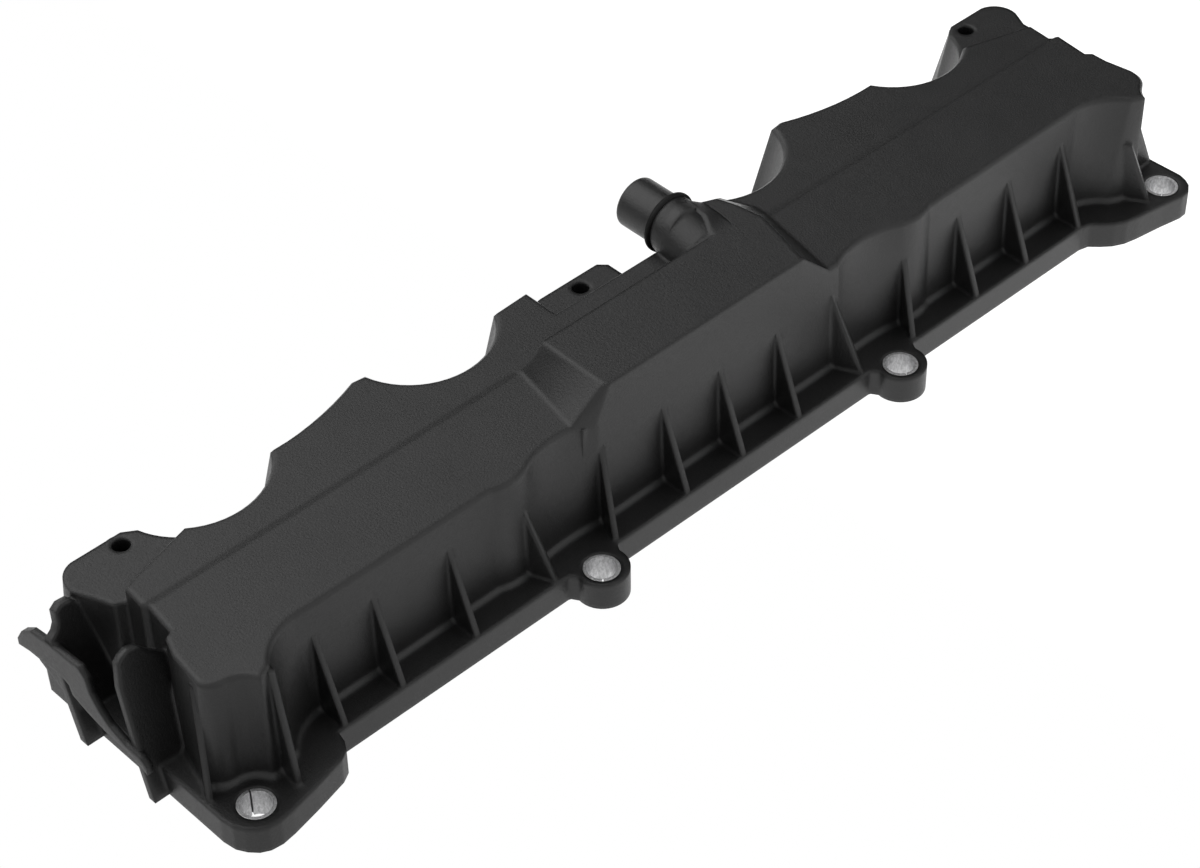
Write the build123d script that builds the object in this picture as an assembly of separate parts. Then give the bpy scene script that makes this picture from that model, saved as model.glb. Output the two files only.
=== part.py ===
from build123d import *
import math
import os

# Valve cover for one camshaft of a four cylinder engine, millimetres.
# +X runs along the cover, +Y toward the spark plug side, +Z up from the sealing face.
# The origin is the middle of the row of four front bolts, on the sealing plane.

# Fastener pattern
front_pitch = 127.5
front_bolts = [-1.5 * front_pitch, -0.5 * front_pitch, 0.5 * front_pitch, 1.5 * front_pitch]
rear_bolts = [(-106.0, 85.6), (0.0, 84.5), (106.0, 85.6)]
sleeve_r = 5.5
sleeve_wall = 1.0
sleeve_split = 0.5
sleeve_fit = 0.05
split_turn = [72.0, -130.0, -115.0, -140.0]

# Heights
flange_h = 9.3
top_z = 48.0
lug_z = 43.0
deck_z = 58.3
wall = 3.0

# Plan of the body at the sealing flange and at the top
front_y_low = 13.9
front_y_top = 15.0
socket_r = 10.3
pilaster_y = 4.6
mid_lean = 0.39
rear_flare = 6.7
well_flare = 10.5
notch_y = 58.4
rear_mid = {-1: (-151, 71.4), 1: (-134, 65.4)}
left_side = [(195.0, 14.2), (193.2, 27.5), (190.8, 33.4), (188.4, 34.6), (186.8, 46.3), (188.0, 47.6),
             (187.3, 55.5)]
right_side = [(190.2, 16.0), (188.8, 25.6), (188.8, 31.2), (187.0, 33.0), (188.4, 45.3), (185.4, 47.0),
              (186.2, 55.5)]
pillar_foot = {-1: 2.5, 1: 1.0}
socket_end = {-1: -2.65, 1: -5.25}
top_edge = 0.8
foot_edge = 1.2
crease_y = 46.5
well_x = (61.0, 146.0)
well_y = 82.5
well_r_top = 24.5
flange_left = 201.5
flange_right = 199.8
flange_lip = 4.0
rim_y = 4.0
end_boss_r = 9.4
mid_boss_r = 8.2
rear_boss_r = 7.2
boss_shift = 0.6

# Gasket
gasket_w = 4.0
gasket_h = 3.6
gasket_proud = 0.6
gasket_side_gap = 0.25
inner_ledge = 7.0
groove_in = 5.3

# Breather
neck_x = 24.0
neck_z = 52.2
neck_r = 9.2
spigot_r = 8.3
spigot_bore_r = 6.2
ring_y = 60.6
ring_w = 2.0
ring_space = 1.2
ring_seat_step = 0.4
ring_seat_r = spigot_r + ring_seat_step
ring_t = 1.3
ring_edge_r = 0.8
ring_r = ring_seat_r + ring_t
spigot_end_y = 76.5

# Separator baffle, screwed to a frame that hangs under the deck
baffle_t = 1.5
baffle_z = 34.0
frame_x = (-55.0, 49.0)
frame_y = (16.4, 55.6)
frame_wall = 2.4
frame_sill = 3.7
baffle_y = (18.7, 53.9)
screw_at = [(-49.5, 24.0), (-3.0, 24.0), (43.5, 24.0), (-49.5, 48.0), (-3.0, 48.0), (43.5, 48.0)]
screw_r = 1.75
screw_head_r = 3.4
screw_head_h = 2.2
screw_l = 11.0
screw_gap = 0.05
boss_r = 4.4

# Gussets of the front wall, at the wall and at the rim
rib_x = [(-156, -156), (-135, -135), (-107.5, -107.5), (-80.5, -76), (-49, -53.2), (-24, -24),
         (-0.5, -0.5), (23.7, 23.7), (48, 53.2), (79.5, 75.2), (105, 105), (129, 129), (155, 155)]
rib_t = 1.8

# Mounting lugs
lug_holes = [(-175.2, 74.2), (-9.0, 66.0), (174.5, 73.6)]
lug_hole_r = 2.75
lug_hole_depth = 14.0
lug_boss_r = 5.6
lug_out = {-1: 195.4, 1: 193.6}


def closed_wire(paths):
    """Wire from point paths, two points for a line and three for an arc."""
    edges = []
    for p in paths:
        edges.append(Line(p[0], p[1]).edge() if len(p) == 2 else ThreePointArc(*p).edge())
    return Wire(edges)


def flipped(paths):
    """The mirror image of a half plan, in running order."""
    return [tuple((-x, y) for x, y in reversed(p)) for p in reversed(paths)]


def body_half(k, sign, inset):
    """Paths of one half of the body plan, from the front middle to the rear middle.

    k runs from 0 at the sealing plane to 1 at the top, sign tells the right half from the left.
    """
    t = inset
    side = right_side if sign > 0 else left_side
    fy = lerp(front_y_low, front_y_top, k) + t
    fm = fy + mid_lean * k
    recess = lerp(0.4, 3.4, k)
    flare = lerp(rear_flare, 0.0, k)
    wr = lerp(well_r_top - well_flare, well_r_top, k) + t
    py = pilaster_y + t
    bolt = front_bolts[3]
    rs = socket_r + t
    s0 = math.pi - math.asin((py - 0.25) / rs)
    s1 = math.acos(socket_end[sign] / rs)
    sock = [(bolt + rs * math.cos(a), rs * math.sin(a)) for a in (s0, (s0 + s1) / 2, s1)]
    turn = [(lerp(158, 162, k), fy + 0.6 * k), (lerp(165.5, 170.5, k), fy - lerp(2.6, 2.2, k)),
            (lerp(170, 177.5, k), py + lerp(2.6, 1.8, k)), (lerp(175, 179.8, k), py + lerp(0.1, 0.7, k))]
    xr = min(x for x, y in side)
    xp = side[0][0] + lerp(pillar_foot[sign], 0.0, k) - t
    yp = side[0][1] + t
    corner = (lerp(sock[2][0], xp, 0.72), lerp(sock[2][1], yp, 0.38))
    if t < 2:
        end = [(xp, yp)] + [(x - t, y) for x, y in side[1:]]
    else:
        end = [(xp, yp), (xr - t, 33), (xr - t, 55.5)]
    last = (end[-1][0] - 4, 57.5 - t)
    end.append(last)
    w1, w2 = well_x

    def on_well(cx, deg):
        a = math.radians(deg)
        return (cx + wr * math.cos(a), well_y + wr * math.sin(a))

    ya = 72.6 + flare - t
    yp = 76.6 + flare - t
    peak = (w1 + math.sqrt(wr ** 2 - (well_y - yp) ** 2), yp)
    shoulder = (peak[0] + max(4.5 - t, 1.0), yp + 0.6)
    well_end, rear_y = rear_mid[sign]
    rear = rear_y + flare - t
    inner = notch_y - t
    paths = [
        ((0, fm), (50, fm)),
        ((50, fm), (64, fy + recess), (78.5, fy - 0.4)),
        ((78.5, fy - 0.4), (83, fy - 1.4), (91, fy)),
        ((91, fy), turn[0]),
        (turn[0], turn[1], turn[2]),
        (turn[2], turn[3], sock[0]),
        (sock[0], sock[1], sock[2]),
        (sock[2], corner, end[0]),
    ]
    paths += list(zip(end[:-1], end[1:]))
    paths += [
        (last, on_well(w2, -52)),
        (on_well(w2, -52), on_well(w2, -100), on_well(w2, -151)),
        (on_well(w2, -151), (105, ya), shoulder),
        (shoulder, peak),
        (peak, on_well(w1, -90), on_well(w1, well_end)),
        (on_well(w1, well_end), (26 + t, rear)),
        ((26 + t, rear), (26 + t, inner)),
        ((26 + t, inner), (0, inner)),
    ]
    return paths


def lerp(a, b, k):
    return a + (b - a) * k


def body_at(z, inset=0.0):
    """Plan of the body at a height, between the flange and the top."""
    k = z / top_z
    wire = closed_wire(body_half(k, 1, inset) + flipped(body_half(k, -1, inset)))
    return Plane.XY.offset(z) * Face(wire)


def body_loft(z0, z1, inset=0.0):
    return loft([body_at(z0, inset), body_at(z1, inset)], ruled=True)


def lug_plan(z, inset, side):
    """Plan of one end lug block, which follows the outer spark plug well."""
    k = z / top_z
    t = inset
    flare = lerp(rear_flare, 0.0, k)
    wr = lerp(well_r_top - well_flare, well_r_top, k) + t
    cx = well_x[1]

    def on_well(deg):
        a = math.radians(deg)
        return (cx + wr * math.cos(a), well_y + wr * math.sin(a))

    back = 77.6 + flare - t
    xo = lug_out[side] - t
    xr = min(x for x, y in (left_side if side < 0 else right_side)) - t
    paths = [
        ((175, 50), (xr, 50)),
        ((xr, 50), (xr, 55 + t)),
        ((xr, 55 + t), (190.6 - t, 57 + t)),
        ((190.6 - t, 57 + t), (xo - 2.8, 62.4 + t / 2)),
        ((xo - 2.8, 62.4 + t / 2), (xo, 68.2 + t / 3)),
        ((xo, 68.2 + t / 3), (xo - 1.6, back - 2.4), (xo - 6, back)),
        ((xo - 6, back), (on_well(-17)[0] + 4, back)),
        ((on_well(-17)[0] + 4, back), on_well(-17)),
        (on_well(-17), on_well(-35), on_well(-52)),
        (on_well(-52), (164 + t, 50)),
        ((164 + t, 50), (175, 50)),
    ]
    if side < 0:
        paths = flipped(paths)
    return Plane.XY.offset(z) * Face(closed_wire(paths))


def lug_blocks(z0, z1, inset=0.0):
    """The two end lug blocks."""
    return [loft([lug_plan(z0, inset, s), lug_plan(z1, inset, s)], ruled=True) for s in (-1, 1)]


def mid_plan(z, x0, x1, inset=0.0):
    """Plan of the middle lug and of the low block behind it."""
    k = z / top_z
    t = inset
    back = 69.9 + lerp(rear_flare, 0.0, k) - t
    pts = [(x0 + t, 45), (x1 - t, 45), (x1 - t, back - 2.5), (x1 - t - 2.5, back),
           (x0 + t + 4.5, back), (x0 + t, back - 1.0)]
    return Plane.XY.offset(z) * make_face(Polyline(*pts, close=True))


def mid_block(z0, z1, x0, x1, inset=0.0):
    return loft([mid_plan(z0, x0, x1, inset), mid_plan(z1, x0, x1, inset)], ruled=True)


def between(low, high, z0, z1):
    """Solid between two outlines given at the top face and at the deck, from z0 to z1."""
    def plan(z):
        k = (z - top_z) / (deck_z - top_z)
        pts = [(lerp(a[0], b[0], k), lerp(a[1], b[1], k)) for a, b in zip(low, high)]
        return Plane.XY.offset(z) * make_face(Polyline(*pts, close=True))

    return loft([plan(z0), plan(z1)], ruled=True)


def deck():
    """Raised separator deck, with sloped ends, and the neck that runs back from it."""
    fy = front_y_top + mid_lean
    fd = fy + (deck_z - top_z) * (fy - front_y_low) / top_z
    low = [(-57.5, 18.3), (-54.0, 16.9), (-50.0, fy), (45.6, fy), (51.7, 46.8), (52.0, 51.4),
           (49.0, 58.6), (46.8, 63.2), (39.8, 64.4), (28, 54), (24, 46.5), (-51.6, 45.9)]
    high = [(-46.1, 17.2), (-45.8, 16.3), (-45.0, fd), (34.6, fd), (40.5, 38.0), (39.0, 48.0),
            (37.0, 54.2), (34.0, 55.5), (28.6, 58.0), (28, 50), (24, 42.6), (-46.0, 42.5)]
    return between(low, high, top_z - 2.0, deck_z)


def deck_space():
    """Hollow of the deck."""
    low = [(-52, 18.6), (43, 18.6), (47.5, 42.5), (-49, 42.5)]
    high = [(-42, 19.0), (31, 19.0), (34, 39.3), (-43, 39.3)]
    return between(low, high, top_z - wall - 1, deck_z - wall)


def collar():
    """Round end of the neck, which runs down into the deck."""
    ends = []
    for y, z, r in ((44.0, deck_z - 10.3, 10.3), (ring_y, neck_z, neck_r)):
        ends.append(Plane(origin=(neck_x, y, z), x_dir=(1, 0, 0), z_dir=(0, -1, 0)) * Circle(r))
    return loft(ends, ruled=True)


def y_cylinder(r, y0, y1):
    """Round bar along Y on the breather axis."""
    return Pos(neck_x, (y0 + y1) / 2, neck_z) * Rot(90, 0, 0) * Cylinder(r, y1 - y0)


def front_rib(x_top, x_foot):
    """Triangular gusset between the front wall and the rim."""
    t = rib_t / 2
    pts = [(18, 6), (rim_y + 0.6, 6), (rim_y + 0.6, flange_h + 0.3), (15.2, 37.2), (18, 37.2)]
    if abs(x_top - x_foot) < 0.5:
        f = Plane.YZ.offset(x_top - t) * make_face(Polyline(*pts, close=True))
        return extrude(f, 2 * t)
    ang = math.degrees(math.atan2(x_foot - x_top, 10.5))
    f = Plane.YZ.offset(-t) * make_face(Polyline(*[(y - 15, z) for y, z in pts], close=True))
    return Pos(x_top, 15, 0) * Rot(0, 0, ang) * extrude(f, 2 * t)


def corner_ribs():
    """Gussets beside the two end bolts, from the wall to the rim."""
    t = rib_t / 2
    out = []
    places = [((-177.4, 7.6), (-178.7, -3.2), 46.6), ((176.6, 6.4), (182.0, -2.4), 31.0),
              ((-193.4, 19.4), (-199.8, 8.8), 44.0), ((188.6, 12.0), (199.2, 12.0), 28.0)]
    for (x0, y0), (x1, y1), top in places:
        length = math.hypot(x1 - x0, y1 - y0)
        ang = math.degrees(math.atan2(y1 - y0, x1 - x0))
        pts = [(0, 6), (length, 6), (length, flange_h + 0.2), (2.4, top), (0, top)]
        f = Plane.XZ.offset(-t) * make_face(Polyline(*pts, close=True))
        out.append(Pos(x0, y0, 0) * Rot(0, 0, ang) * extrude(f, 2 * t))
    return out


def plan_at_base(inset):
    """Whole outline of the cover at the sealing plane, moved in by the inset."""
    lugs = lug_plan(0, inset, -1) + lug_plan(0, inset, 1)
    return body_at(0, inset) + lugs + mid_plan(0, -30, 30, inset)


def flange_sketch():
    """Sealing flange: a lip round the body, the front rim and the bolt pads."""
    parts = [offset(plan_at_base(0), flange_lip, kind=Kind.ARC)]
    fl = flange_left
    fr = flange_right
    outlines = [
        [(-fl, rim_y), (fr, rim_y), (fr, 22), (-fl, 22)],
        [(-186, 10), (-fl, 10), (-fl, 80), (3 - fl, 86), (-190, 86), (-186, 60)],
        [(186, 10), (fr, 10), (fr, 80), (fr - 3, 86), (190, 86), (186, 60)],
        [(-fl, 15), (-fl, 2.4), (-200.8, -1.9), (-199.1, -4.9), (-196.9, -7.3), (-194.1, -8.8),
         (-190.3, -9.3), (-185.7, -8.7), (-175.5, -6.6), (-164.8, -4.0), (-161.6, -2.2),
         (-159.9, 0.6), (-159.0, 4.2), (-160, 15)],
        [(fr, 15), (200.2, -0.7), (199.4, -3.6), (198, -6.1), (195.1, -8.3), (192.0, -8.5),
         (188.8, -7.9), (183.7, -6.9), (173.2, -5.3), (168.4, -4.2), (164.6, -2.3), (161.5, 0.3),
         (158.8, 3.1), (154.5, 4.2), (160, 15)],
    ]
    for x in front_bolts[1:3]:
        bx = x + boss_shift
        r = mid_boss_r
        parts.append(Pos(bx, 0.4) * Circle(r))
        outlines.append([(bx - r - 3.2, 4.5), (bx - r - 1.2, 3.7), (bx - r + 0.1, 1.6), (bx + r - 0.1, 1.6),
                         (bx + r + 0.9, 3.4), (bx + r + 2.2, 4.5)])
    for pts in outlines:
        parts.append(make_face(Polyline(*pts, close=True)))
    for x, y in rear_bolts:
        parts.append(Pos(x, y) * Circle(rear_boss_r))
        parts.append(Pos(x, y - 5) * Rectangle(2 * rear_boss_r, 10))
    sk = parts[0]
    for p in parts[1:]:
        sk = sk + p
    return sk


def leaning_plate(y0, slope, pts, thick):
    """Plate that stands on the line y0 and leans to the rear, given by x and height points."""
    n = math.hypot(1.0, slope)
    plane = Plane(origin=(0, y0, 0), x_dir=(1, 0, 0), z_dir=(0, -1.0 / n, slope / n))
    f = plane * make_face(Polyline(*[(x, z * n) for x, z in pts], close=True))
    return extrude(f, -thick)


def side_plate(x, pts, thick):
    """Upright plate square to X, given by y and height points."""
    return extrude(Plane.YZ.offset(x) * make_face(Polyline(*pts, close=True)), thick)


def end_bracket():
    """Open pocket on the left end: two leaning plates joined by an outer rail."""
    p1 = leaning_plate(26.0, 0.30, [
        (-188, 0), (-206.3, 0), (-206.1, 12.5), (-204.9, 35.8), (-203.2, 42.6), (-201.5, 43.9),
        (-199.1, 44.8), (-196, 44.2), (-193, 41.1), (-189.7, 38.5), (-186, 37.5)], 2.6)
    p2 = leaning_plate(55.6, 0.30, [
        (-186, 0), (-206.9, 0), (-206.9, 30), (-206.4, 33.9), (-204.2, 35.3), (-203, 37),
        (-202.5, 40.6), (-200.3, 41.9), (-197.2, 41.7), (-195.3, 40), (-186, 40)], 3.2)
    rail = side_plate(-207.0, [
        (26.5, 14.6), (28.9, 16.4), (35.5, 16.6), (42.3, 18.7), (46.2, 21.7), (49.3, 25.7),
        (50.5, 30.7), (53.2, 33.4), (69.4, 32), (75.4, 31), (80.3, 27.4), (83.1, 22.8),
        (83.1, 20.3), (77.6, 21.5), (62.4, 22.6), (59.7, 21.6), (58.7, 18.4), (52.3, 16.4),
        (44.8, 14.8), (35.8, 14.4), (29, 12.5), (26.5, 11.5)], 2.2)
    web = side_plate(-205.2, [
        (58, 2), (60.7, 3.7), (65.3, 11.8), (76.2, 17.5), (78, 19.6), (78, 24), (60, 24)], 1.8)
    return p1, p2, rail, web


def hollow():
    """Space inside the cover, open at the sealing face."""
    space = body_loft(flange_h, top_z - wall, wall)
    for lug in lug_blocks(flange_h, lug_z - wall, wall):
        space += lug
    space += mid_block(flange_h, lug_z - wall, -26, 4.6, wall)
    space += mid_block(flange_h, 24 - wall, -30, 30, wall)
    space += extrude(plan_at_base(inner_ledge), flange_h)
    space += deck_space()
    space += block((19, 35), (38, 53.5), (top_z - wall - 0.5, 54.5))
    space -= y_cylinder(ring_r + ring_space + wall, ring_y - wall, 90)
    return space


def block(x, y, z):
    """Box from three ranges."""
    size = (x[1] - x[0], y[1] - y[0], z[1] - z[0])
    return Pos(x[0], y[0], z[0]) * Box(*size, align=(Align.MIN, Align.MIN, Align.MIN))


def separator_frame():
    """Wall that closes the separator chamber down to the baffle, with screw bosses."""
    z0 = baffle_z + baffle_t
    z1 = top_z - wall / 2
    inner_x = (frame_x[0] + frame_wall, frame_x[1] - frame_wall)
    inner_y = (frame_y[0] + frame_sill, frame_y[1] - frame_sill)
    ring = block(frame_x, frame_y, (z0, z1)) - block(inner_x, inner_y, (z0 - 1, z1 + 1))
    for x, y in screw_at:
        ring += Pos(x, y, (z0 + z1) / 2) * Cylinder(boss_r, z1 - z0)
    return ring


def roof_ribs():
    """Cross ribs under the roof, shallow enough to clear the camshaft."""
    ribs = None
    for x in (-165, -125, -90, 90, 125, 165):
        r = Pos(x, 38, 41.5) * Box(2.0, 44, 9)
        ribs = r if ribs is None else ribs + r
    return ribs


def spigot():
    """Hose spigot of the breather, rounded at its end, with a seat for its ring."""
    s = y_cylinder(spigot_r, 54, spigot_end_y)
    return fillet(s.edges().group_by(Axis.Y)[-1], 1.0) + y_cylinder(ring_seat_r, 54, ring_y + ring_w)


def make_cover():
    low_edge = top_z - top_edge
    body = loft([body_at(flange_h - 0.5, -foot_edge), body_at(flange_h, -foot_edge),
                 body_at(flange_h + foot_edge), body_at(low_edge), body_at(top_z, top_edge)], ruled=True)
    v = [(crease_y - 0.7, top_z), (crease_y, top_z - 0.5), (crease_y + 0.7, top_z)]
    for x in (-188, 53):
        body -= extrude(Plane.YZ.offset(x) * make_face(Polyline(*v, close=True)), 135)
    for lug in lug_blocks(0, lug_z):
        body += lug
    body += mid_block(0, lug_z, -26, 4.6)
    body += mid_block(0, 24, -30, 30)
    body += deck()
    body += collar()
    body += extrude(flange_sketch(), flange_h)
    for a, b in rib_x:
        body += front_rib(a, b)
    for p in corner_ribs():
        body += p
    body -= hollow()
    body -= y_cylinder(ring_r + ring_space, ring_y, 90)
    body += separator_frame()
    body += roof_ribs()
    for p in end_bracket():
        body += p
    body -= Pos(-205, 50, -5) * Box(40, 120, 10)
    body += spigot()
    body -= y_cylinder(spigot_bore_r, 52.5, spigot_end_y + 1)
    for x in front_bolts:
        body -= Pos(x, 0, flange_h / 2) * Cylinder(sleeve_r + sleeve_fit, flange_h + 2)
    for x, y in rear_bolts:
        body -= Pos(x, y, flange_h / 2) * Cylinder(sleeve_r + sleeve_fit, flange_h + 2)
    for x, y in lug_holes:
        body += Pos(x, y, lug_z - 9.5) * Cylinder(lug_boss_r, 16)
        body -= Pos(x, y, lug_z) * Cylinder(lug_hole_r, 2 * lug_hole_depth)
    z0 = baffle_z + baffle_t
    for x, y in screw_at:
        body -= Pos(x, y, z0 + 4.5) * Cylinder(screw_r + screw_gap, 11)
    groove = plan_at_base(groove_in - gasket_w - 2 * gasket_side_gap) - plan_at_base(groove_in)
    body -= extrude(groove, gasket_h - gasket_proud)
    return body


def make_sleeve(x, y, turn):
    s = Cylinder(sleeve_r, flange_h) - Cylinder(sleeve_r - sleeve_wall, flange_h + 2)
    s -= Pos(0, -sleeve_r, 0) * Box(sleeve_split, 2 * sleeve_wall + 2, flange_h + 2)
    return Pos(x, y, flange_h / 2) * Rot(0, 0, turn + 90) * s


def make_gasket():
    g = gasket_side_gap
    band = plan_at_base(groove_in - gasket_w - g) - plan_at_base(groove_in - g)
    return Pos(0, 0, -gasket_proud) * extrude(band, gasket_h)


def make_ring():
    ring = y_cylinder(ring_r, ring_y, ring_y + ring_w) - y_cylinder(ring_seat_r + 0.05, 55, 72)
    outer = [e for e in ring.edges().filter_by(GeomType.CIRCLE) if abs(e.radius - ring_r) < 0.01]
    return fillet(outer, ring_edge_r)


def make_baffle():
    plate = block(frame_x, baffle_y, (baffle_z, baffle_z + baffle_t))
    plate = fillet(plate.edges().filter_by(Axis.Z), 4)
    for x, y in screw_at:
        plate -= Pos(x, y, baffle_z) * Cylinder(screw_r + 0.35, 10)
    for k in range(4):
        plate -= Pos(20 + 6 * k, 36, baffle_z) * Box(2.4, 14, 10)
    plate -= Pos(-30, 36, baffle_z) * Cylinder(2.6, 10)
    return plate


def make_screw(x, y):
    head = Pos(0, 0, -screw_head_h / 2) * Cylinder(screw_head_r, screw_head_h)
    head = fillet(head.edges().group_by(Axis.Z)[0], 0.9)
    shank = Pos(0, 0, screw_l / 2) * Cylinder(screw_r, screw_l)
    cross = Pos(0, 0, -screw_head_h) * (Box(3.6, 0.9, 2.2) + Box(0.9, 3.6, 2.2))
    return Pos(x, y, baffle_z) * (head + shank - cross)


def write(shape, name):
    export_step(shape, "parts/" + name + ".step")
    print(name, shape.is_valid, len(shape.solids()), round(shape.volume))


if __name__ == "__main__":
    os.makedirs("parts", exist_ok=True)
    write(make_cover(), "cover_shell")
    for i, x in enumerate(front_bolts):
        write(make_sleeve(x, 0, split_turn[i]), f"front_limiter_{i + 1}")
    for i, (x, y) in enumerate(rear_bolts):
        write(make_sleeve(x, y, 90), f"rear_limiter_{i + 1}")
    write(make_gasket(), "perimeter_gasket")
    write(make_ring(), "breather_seal_ring")
    write(make_baffle(), "separator_baffle")
    for i, (x, y) in enumerate(screw_at):
        write(make_screw(x, y), f"baffle_screw_{i + 1}")
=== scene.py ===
import bpy
from mathutils import Matrix, Vector


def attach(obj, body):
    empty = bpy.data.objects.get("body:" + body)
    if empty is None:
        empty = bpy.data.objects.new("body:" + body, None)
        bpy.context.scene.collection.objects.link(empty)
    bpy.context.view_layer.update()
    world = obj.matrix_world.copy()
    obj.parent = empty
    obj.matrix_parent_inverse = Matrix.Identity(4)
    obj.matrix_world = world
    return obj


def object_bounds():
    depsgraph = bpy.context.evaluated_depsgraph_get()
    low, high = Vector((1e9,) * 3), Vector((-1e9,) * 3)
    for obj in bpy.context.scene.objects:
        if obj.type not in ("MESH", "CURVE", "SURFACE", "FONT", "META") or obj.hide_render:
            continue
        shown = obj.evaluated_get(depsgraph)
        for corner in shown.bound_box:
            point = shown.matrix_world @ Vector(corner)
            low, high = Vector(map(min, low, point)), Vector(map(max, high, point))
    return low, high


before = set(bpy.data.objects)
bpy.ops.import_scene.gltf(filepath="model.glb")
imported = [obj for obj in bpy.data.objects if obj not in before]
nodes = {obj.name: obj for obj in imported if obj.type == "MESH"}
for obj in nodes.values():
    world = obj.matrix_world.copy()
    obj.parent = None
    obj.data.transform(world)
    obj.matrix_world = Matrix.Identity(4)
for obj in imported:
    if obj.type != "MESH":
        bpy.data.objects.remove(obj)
cad_low, cad_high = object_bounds()


# Shader nodes. Textures lie in object coordinates, in metres
def new_material(name):
    mat = bpy.data.materials.new(name)
    mat.use_nodes = True
    nt = mat.node_tree
    nt.nodes.clear()
    out = nt.nodes.new("ShaderNodeOutputMaterial")
    bsdf = nt.nodes.new("ShaderNodeBsdfPrincipled")
    nt.links.new(bsdf.outputs["BSDF"], out.inputs["Surface"])
    coord = nt.nodes.new("ShaderNodeTexCoord")
    return mat, nt, bsdf, coord.outputs["Object"]


def noise(nt, vector, scale, detail, rough=0.5):
    n = nt.nodes.new("ShaderNodeTexNoise")
    n.inputs["Scale"].default_value = scale
    n.inputs["Detail"].default_value = detail
    n.inputs["Roughness"].default_value = rough
    nt.links.new(vector, n.inputs["Vector"])
    return n.outputs["Fac"]


def stretched(nt, vector, scale):
    m = nt.nodes.new("ShaderNodeMapping")
    m.inputs["Scale"].default_value = scale
    nt.links.new(vector, m.inputs["Vector"])
    return m.outputs["Vector"]


# A noise texture stays between these two values for the most part
noise_low = 0.3
noise_high = 0.7


def spread(nt, fac, low, high):
    m = nt.nodes.new("ShaderNodeMapRange")
    m.inputs["From Min"].default_value = noise_low
    m.inputs["From Max"].default_value = noise_high
    m.inputs["To Min"].default_value = low
    m.inputs["To Max"].default_value = high
    nt.links.new(fac, m.inputs["Value"])
    return m.outputs["Result"]


def bump(nt, height, strength, distance, normal):
    b = nt.nodes.new("ShaderNodeBump")
    b.inputs["Strength"].default_value = strength
    b.inputs["Distance"].default_value = distance
    nt.links.new(height, b.inputs["Height"])
    nt.links.new(normal, b.inputs["Normal"])
    return b.outputs["Normal"]


bevel_samples = 6


def rounded(nt, radius):
    """Normals that round every edge by a radius in metres."""
    b = nt.nodes.new("ShaderNodeBevel")
    b.samples = bevel_samples
    b.inputs["Radius"].default_value = radius
    return b.outputs["Normal"]


def math_node(nt, operation, first, second):
    m = nt.nodes.new("ShaderNodeMath")
    m.operation = operation
    nt.links.new(first, m.inputs[0])
    nt.links.new(second, m.inputs[1])
    return m.outputs[0]


def larger(nt, first, second):
    return math_node(nt, "MAXIMUM", first, second)


def added(nt, first, second):
    return math_node(nt, "ADD", first, second)


def mixed(nt, fac, first, second):
    m = nt.nodes.new("ShaderNodeMixShader")
    nt.links.new(fac, m.inputs[0])
    nt.links.new(first, m.inputs[1])
    nt.links.new(second, m.inputs[2])
    return m.outputs[0]


blue_share = 1.01


def grey(v):
    return (v, v, v * blue_share, 1)


def tones(nt, fac, dark, light):
    r = nt.nodes.new("ShaderNodeValToRGB")
    ends = r.color_ramp.elements
    ends[0].position = noise_low
    ends[0].color = grey(dark)
    ends[1].position = noise_high
    ends[1].color = grey(light)
    nt.links.new(fac, r.inputs["Fac"])
    return r.outputs["Color"]


# Moulded glass filled nylon: fine eroded grain, faint flow clouding, slightly satin
def plastic(name, dark, light, rough_low, rough_high, edge):
    mat, nt, bsdf, co = new_material(name)
    cloud = noise(nt, co, scale=28.0, detail=4.0, rough=0.55)
    satin = noise(nt, co, scale=1500.0, detail=3.0)
    grain = noise(nt, co, scale=1500.0, detail=4.0, rough=0.7)
    sink = noise(nt, co, scale=55.0, detail=2.0)
    nt.links.new(tones(nt, cloud, dark, light), bsdf.inputs["Base Color"])
    nt.links.new(spread(nt, satin, rough_low, rough_high), bsdf.inputs["Roughness"])
    bsdf.inputs["IOR"].default_value = 1.5
    n = rounded(nt, edge)
    n = bump(nt, sink, strength=0.25, distance=0.0006, normal=n)
    n = bump(nt, grain, strength=0.7, distance=0.00016, normal=n)
    nt.links.new(n, bsdf.inputs["Normal"])
    return mat


# Plated steel: fine lines drawn out along the axis, and a shine that varies in spots
def steel(name, base, rough, streak):
    mat, nt, bsdf, co = new_material(name)
    rough_swing = 0.08
    lines = noise(nt, stretched(nt, co, streak), scale=1300.0, detail=4.0, rough=0.7)
    spots = noise(nt, co, scale=900.0, detail=3.0)
    tone = tones(nt, lines, dark=base * 0.62, light=base * 1.25)
    shine = spread(nt, spots, rough - rough_swing, rough + rough_swing)
    nt.links.new(tone, bsdf.inputs["Base Color"])
    nt.links.new(shine, bsdf.inputs["Roughness"])
    bsdf.inputs["Metallic"].default_value = 1.0
    n = bump(nt, lines, strength=0.5, distance=0.00012, normal=rounded(nt, 0.00025))
    nt.links.new(n, bsdf.inputs["Normal"])
    return mat


# Moulded rubber: dull, even and nearly black
def rubber(name, base):
    mat, nt, bsdf, co = new_material(name)
    cloud = noise(nt, co, scale=90.0, detail=3.0)
    matte = noise(nt, co, scale=600.0, detail=3.0)
    grain = noise(nt, co, scale=1500.0, detail=2.0)
    tone = tones(nt, cloud, dark=base * 0.8, light=base * 1.25)
    nt.links.new(tone, bsdf.inputs["Base Color"])
    nt.links.new(spread(nt, matte, low=0.6, high=0.75), bsdf.inputs["Roughness"])
    bsdf.inputs["Specular IOR Level"].default_value = 0.22
    n = bump(nt, grain, strength=0.2, distance=0.00005, normal=rounded(nt, 0.0003))
    nt.links.new(n, bsdf.inputs["Normal"])
    return mat


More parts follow.
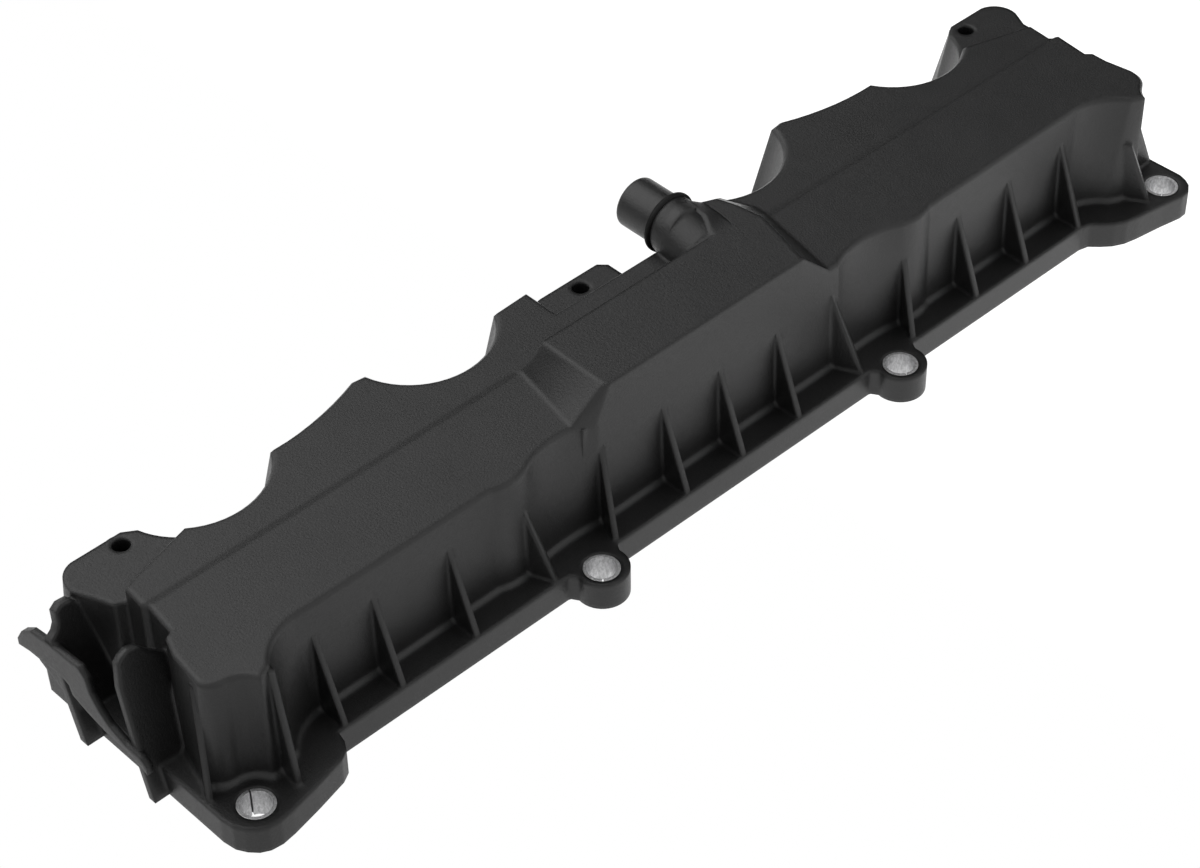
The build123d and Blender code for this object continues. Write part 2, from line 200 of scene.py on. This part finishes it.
shell_mat = plastic("moulded_nylon", dark=0.0075, light=0.0115,
                    rough_low=0.31, rough_high=0.43, edge=0.002)
baffle_mat = plastic("baffle_nylon", dark=0.009, light=0.013,
                     rough_low=0.46, rough_high=0.56, edge=0.0004)
limiter_mat = steel("rolled_steel", base=0.62, rough=0.52, streak=(1.0, 1.0, 0.5))
screw_mat = steel("screw_steel", base=0.42, rough=0.4, streak=(1.0, 1.0, 0.3))
seal_mat = rubber("seal_rubber", base=0.0045)


def paint(node, mat):
    o = nodes[node]
    if not o.material_slots:
        o.data.materials.append(mat)
    for s in o.material_slots:
        s.material = mat


paint("cover_shell", shell_mat)
paint("separator_baffle", baffle_mat)
paint("perimeter_gasket", seal_mat)
paint("breather_seal_ring", seal_mat)
for name in nodes:
    if "limiter" in name:
        paint(name, limiter_mat)
    if "screw" in name:
        paint(name, screw_mat)


# Moulded fold where the deck runs into the round neck of the hose spigot.
# It is a height field in millimetres, laid over the two forms and a hair below them,
# so that it shows only in the corner between them
deck_top = 58.3
deck_slope = 2.6
deck_edge = [(0.0, 42.6), (24.0, 42.6), (28.0, 50.0), (28.6, 58.0), (34.0, 55.5), (37.0, 54.2)]
neck_x = 24.0
neck_start_y = 44.0
neck_length = 16.6
neck_start_z = 48.0
neck_rise = 4.2
neck_start_r = 10.3
neck_taper = 1.1
neck_side = 0.6
fold_reach = 4.2
fold_margin = 0.2
fold_sunk = 0.006
fade_start_y = 40.0
fade_length = 11.0
grid_step = 0.35
grid_start = (12.0, 38.5)
grid_count = (76, 62)
fold_thickness = 1.2
mm_per_m = 1000


def eased(t):
    """Smooth step from 0 to 1."""
    t = max(0.0, min(1.0, t))
    return t * t * (3 - 2 * t)


def past_edge(x, y):
    """Distance past the rear edge of the deck, negative on the deck."""
    best = float("inf")
    tie = 1e-9
    for (x0, y0), (x1, y1) in zip(deck_edge, deck_edge[1:]):
        dx, dy = x1 - x0, y1 - y0
        t = max(0.0, min(1.0, ((x - x0) * dx + (y - y0) * dy) / (dx * dx + dy * dy)))
        gap = ((x - x0 - t * dx) ** 2 + (y - y0 - t * dy) ** 2) ** 0.5
        if gap < best - tie:
            best = gap
            outside = dx * (y - y0) - dy * (x - x0) > 0
    return best if outside else -best


def neck_height(x, y):
    """Height of the top of the neck, None beside it and where it turns down too steeply."""
    t = (y - neck_start_y) / neck_length
    radius = neck_start_r - neck_taper * t
    across = radius * radius - (x - neck_x) ** 2
    if across <= neck_side:
        return None
    return neck_start_z + neck_rise * t + across ** 0.5


def fold_height(x, y):
    """Height of the fold, None where neck and deck are too far apart for one."""
    neck = neck_height(x, y)
    if neck is None:
        return None
    deck = deck_top - deck_slope * max(0.0, past_edge(x, y))
    near = fold_reach - abs(deck - neck)
    if near < -fold_margin:
        return None
    lift = max(near, 0.0) ** 2 / (4 * fold_reach) * eased((y - fade_start_y) / fade_length)
    return max(deck, neck) + lift - fold_sunk


def neck_fold():
    points, faces, index = [], [], {}
    for i in range(grid_count[0]):
        for j in range(grid_count[1]):
            x, y = grid_start[0] + i * grid_step, grid_start[1] + j * grid_step
            z = fold_height(x, y)
            if z is not None:
                index[i, j] = len(points)
                points.append((x / mm_per_m, y / mm_per_m, z / mm_per_m))
    for i, j in index:
        ring = [(i, j), (i + 1, j), (i + 1, j + 1), (i, j + 1)]
        if all(k in index for k in ring):
            faces.append([index[k] for k in ring])
    mesh = bpy.data.meshes.new("neck_fold")
    mesh.from_pydata(points, [], faces)
    mesh.polygons.foreach_set("use_smooth", [True] * len(faces))
    mesh.materials.append(shell_mat)
    obj = bpy.data.objects.new("neck_fold", mesh)
    bpy.context.scene.collection.objects.link(obj)
    thick = obj.modifiers.new("thick", "SOLIDIFY")
    thick.thickness = fold_thickness / mm_per_m
    thick.offset = -1.0
    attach(obj, "root")


neck_fold()


# Floor: white to the camera, brighter toward +X in reflections, plain grey to other
# rays and clear from below
floor_half = 4.0
floor_gap = 0.0002
floor_grey = 0.6
glow_ends = (-0.2, 0.2)
glow_strengths = (0.72, 1.25)


def floor_material():
    mat = bpy.data.materials.new("floor_white")
    mat.use_nodes = True
    nt = mat.node_tree
    nt.nodes.clear()
    out = nt.nodes.new("ShaderNodeOutputMaterial")
    diffuse = nt.nodes.new("ShaderNodeBsdfDiffuse")
    diffuse.inputs["Color"].default_value = (floor_grey, floor_grey, floor_grey, 1)
    glow = nt.nodes.new("ShaderNodeEmission")
    clear = nt.nodes.new("ShaderNodeBsdfTransparent")
    path = nt.nodes.new("ShaderNodeLightPath")
    geo = nt.nodes.new("ShaderNodeNewGeometry")
    place = nt.nodes.new("ShaderNodeTexCoord")
    along = nt.nodes.new("ShaderNodeSeparateXYZ")
    nt.links.new(place.outputs["Object"], along.inputs[0])
    rise = nt.nodes.new("ShaderNodeMapRange")
    rise.inputs["From Min"].default_value = glow_ends[0]
    rise.inputs["From Max"].default_value = glow_ends[1]
    rise.inputs["To Min"].default_value = glow_strengths[0]
    rise.inputs["To Max"].default_value = glow_strengths[1]
    nt.links.new(along.outputs["X"], rise.inputs["Value"])
    strength = larger(nt, rise.outputs["Result"], path.outputs["Is Camera Ray"])
    nt.links.new(strength, glow.inputs["Strength"])
    glows = larger(nt, path.outputs["Is Camera Ray"], path.outputs["Is Glossy Ray"])
    above = mixed(nt, glows, diffuse.outputs[0], glow.outputs[0])
    whole = mixed(nt, geo.outputs["Backfacing"], above, clear.outputs[0])
    nt.links.new(whole, out.inputs["Surface"])
    return mat


def floor():
    z = cad_low.z - floor_gap
    s = floor_half
    mesh = bpy.data.meshes.new("floor")
    mesh.from_pydata([(-s, -s, z), (s, -s, z), (s, s, z), (-s, s, z)], [], [(0, 1, 2, 3)])
    mesh.materials.append(floor_material())
    obj = bpy.data.objects.new("floor", mesh)
    bpy.context.scene.collection.objects.link(obj)


floor()


# World: three soft panels that light the part, and plain white for the camera.
# near and far are cosines of the angle to a panel's direction: full within near, faded
# out at far
def soft_panel(nt, vector, direction, near, far, low, high):
    toward = nt.nodes.new("ShaderNodeVectorMath")
    toward.operation = "DOT_PRODUCT"
    toward.inputs[1].default_value = Vector(direction).normalized()
    nt.links.new(vector, toward.inputs[0])
    fade = nt.nodes.new("ShaderNodeMapRange")
    fade.interpolation_type = "SMOOTHSTEP"
    fade.inputs["From Min"].default_value = far
    fade.inputs["From Max"].default_value = near
    fade.inputs["To Min"].default_value = low
    fade.inputs["To Max"].default_value = high
    nt.links.new(toward.outputs["Value"], fade.inputs["Value"])
    return fade.outputs["Result"]


def studio():
    world = bpy.data.worlds.new("studio")
    bpy.context.scene.world = world
    world.use_nodes = True
    nt = world.node_tree
    nt.nodes.clear()
    out = nt.nodes.new("ShaderNodeOutputWorld")
    toward = nt.nodes.new("ShaderNodeTexCoord").outputs["Generated"]
    overhead = soft_panel(nt, toward, (-0.17, 0.6, 0.8), near=0.9, far=0.66, low=0.03, high=1.85)
    front = soft_panel(nt, toward, (0.5, -0.65, 0.5), near=0.9, far=0.6, low=0.0, high=0.95)
    side = soft_panel(nt, toward, (-0.8, -0.55, 0.1), near=0.95, far=0.4, low=0.0, high=0.8)
    panels = nt.nodes.new("ShaderNodeBackground")
    panels.inputs["Color"].default_value = (1, 1, 1, 1)
    strength = added(nt, added(nt, overhead, front), side)
    nt.links.new(strength, panels.inputs["Strength"])
    white = nt.nodes.new("ShaderNodeBackground")
    white.inputs["Color"].default_value = (1, 1, 1, 1)
    white.inputs["Strength"].default_value = 1.0
    path = nt.nodes.new("ShaderNodeLightPath")
    whole = mixed(nt, path.outputs["Is Camera Ray"], panels.outputs[0], white.outputs[0])
    nt.links.new(whole, out.inputs["Surface"])


studio()


def area(name, place, aim, size, power):
    data = bpy.data.lights.new(name, "AREA")
    data.shape = "RECTANGLE"
    data.size, data.size_y = size
    data.energy = power
    obj = bpy.data.objects.new(name, data)
    bpy.context.scene.collection.objects.link(obj)
    obj.location = place
    away = Vector(aim) - Vector(place)
    obj.rotation_mode = "QUATERNION"
    obj.rotation_quaternion = away.to_track_quat("-Z", "Y")


area("side_soft", place=(-1.6, 0.9, 1.2), aim=(0, 0.04, 0.03), size=(1.0, 0.8), power=1)

# Camera fitted to the photograph
camera_place = (-0.492066, -0.458908, 0.633341)
camera_right = Vector((0.723125, -0.690607, -0.012356))
camera_up = Vector((0.471810, 0.480802, 0.739070))
camera_back = Vector((-0.504466, -0.540269, 0.673516))
cam_data = bpy.data.cameras.new("camera")
cam_data.sensor_fit = "HORIZONTAL"
cam_data.sensor_width = 36.0
cam_data.lens = 92.2235
camera = bpy.data.objects.new("camera", cam_data)
bpy.context.scene.collection.objects.link(camera)
turn = Matrix((camera_right, camera_up, camera_back)).transposed().to_4x4()
camera.matrix_world = Matrix.Translation(camera_place) @ turn
bpy.context.scene.camera = camera

bpy.context.scene.view_settings.view_transform = "Standard"
